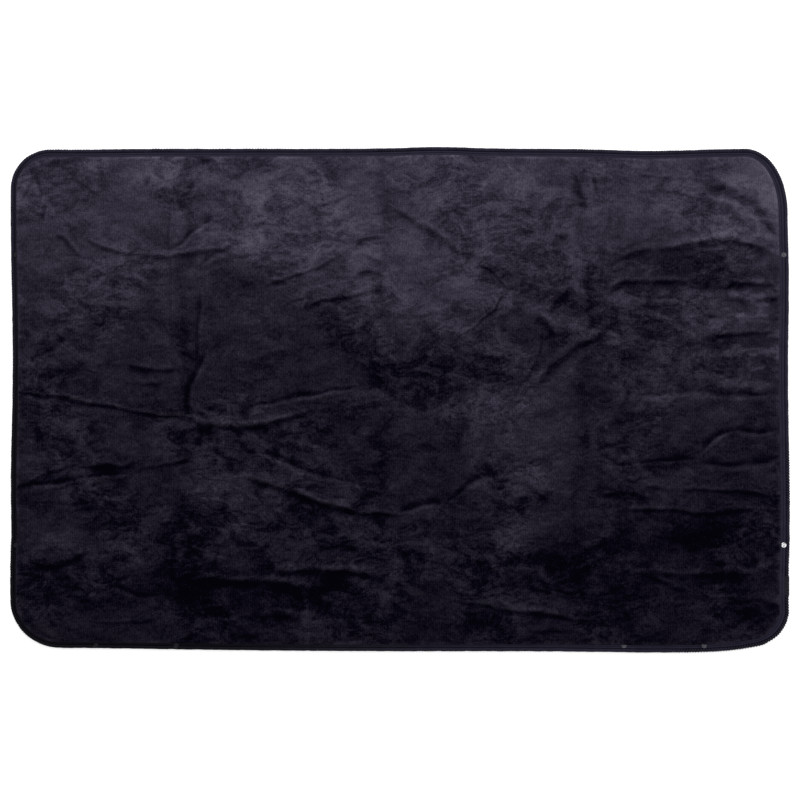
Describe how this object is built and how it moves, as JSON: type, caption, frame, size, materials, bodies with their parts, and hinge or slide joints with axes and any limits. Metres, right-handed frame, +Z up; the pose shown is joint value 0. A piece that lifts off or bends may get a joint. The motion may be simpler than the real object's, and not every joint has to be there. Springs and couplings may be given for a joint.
{
  "type": "infrared sauna blanket",
  "caption": "Plush-faced far-infrared sauna blanket laid open flat: rounded rectangle with bound, rolled edge and press studs; folds in half along its middle.",
  "frame": {"origin": "centre of the blanket's outline, on the surface it lies on", "axes": "+X along the long side towards the half with the power inlet, +Y across the blanket away from the studded long edge, +Z up out of the plush face"},
  "size_m": [1.8, 1.162, 0.0175],
  "materials": {
    "plush": "matte",
    "binding": "satin",
    "shell_nylon": "satin",
    "wadding": "matte",
    "reflective_film": "gloss",
    "carrier_cloth": "matte",
    "cover_cloth": "matte",
    "heating_wire": "satin",
    "lead_sheath": "satin",
    "stud_nickel": "polished",
    "pin_brass": "polished",
    "inlet_plastic": "matte",
    "ceramic_white": "satin"
  },
  "bodies": {
    "right_half": {"right_edge_binding_lower": "binding", "right_edge_binding_upper": "binding", "right_edge_interlining_lower": "wadding", "right_edge_interlining_upper": "wadding", "right_heater_carrier": "carrier_cloth", "right_heater_cover_cloth": "cover_cloth", "right_heating_wire": "heating_wire", "right_inlet_housing": "inlet_plastic", "right_inlet_pin_live": "pin_brass", "right_inlet_pin_return": "pin_brass", "right_outer_shell": "shell_nylon", "right_plush_lining": "plush", "right_reflective_foil": "reflective_film", "right_return_lead": "lead_sheath", "right_rolled_edge_lower": "binding", "right_rolled_edge_upper": "binding", "right_stud_ball_bottom_inner": "stud_nickel", "right_stud_ball_bottom_outer": "stud_nickel", "right_stud_ball_lower": "stud_nickel", "right_stud_ball_upper": "stud_nickel", "right_stud_cap_bottom_inner": "stud_nickel", "right_stud_cap_bottom_outer": "stud_nickel", "right_stud_cap_lower": "stud_nickel", "right_stud_cap_upper": "stud_nickel", "right_supply_lead": "lead_sheath", "right_temperature_sensor": "lead_sheath", "right_terminal_block": "ceramic_white", "right_thermal_cut_out_far": "ceramic_white", "right_thermal_cut_out_near": "ceramic_white", "right_wadding": "wadding"},
    "left_half": {"left_edge_binding": "binding", "left_edge_interlining": "wadding", "left_heater_carrier": "carrier_cloth", "left_heater_cover_cloth": "cover_cloth", "left_heating_wire": "heating_wire", "left_outer_shell": "shell_nylon", "left_plush_lining": "plush", "left_reflective_foil": "reflective_film", "left_return_lead": "lead_sheath", "left_rolled_edge": "binding", "left_stud_cap_bottom_inner": "stud_nickel", "left_stud_cap_bottom_outer": "stud_nickel", "left_stud_cap_lower": "stud_nickel", "left_stud_cap_upper": "stud_nickel", "left_stud_socket_bottom_inner": "stud_nickel", "left_stud_socket_bottom_outer": "stud_nickel", "left_stud_socket_lower": "stud_nickel", "left_stud_socket_upper": "stud_nickel", "left_temperature_sensor": "lead_sheath", "left_thermal_cut_out_far": "ceramic_white", "left_thermal_cut_out_near": "ceramic_white", "left_wadding": "wadding"}
  },
  "joints": [
    {"name": "fold", "type": "hinge", "parent": "right_half", "child": "left_half", "pos_m": [0, 0, 0.018], "axis": [0, 1, 0], "range_deg": [0, 180]}
  ]
}
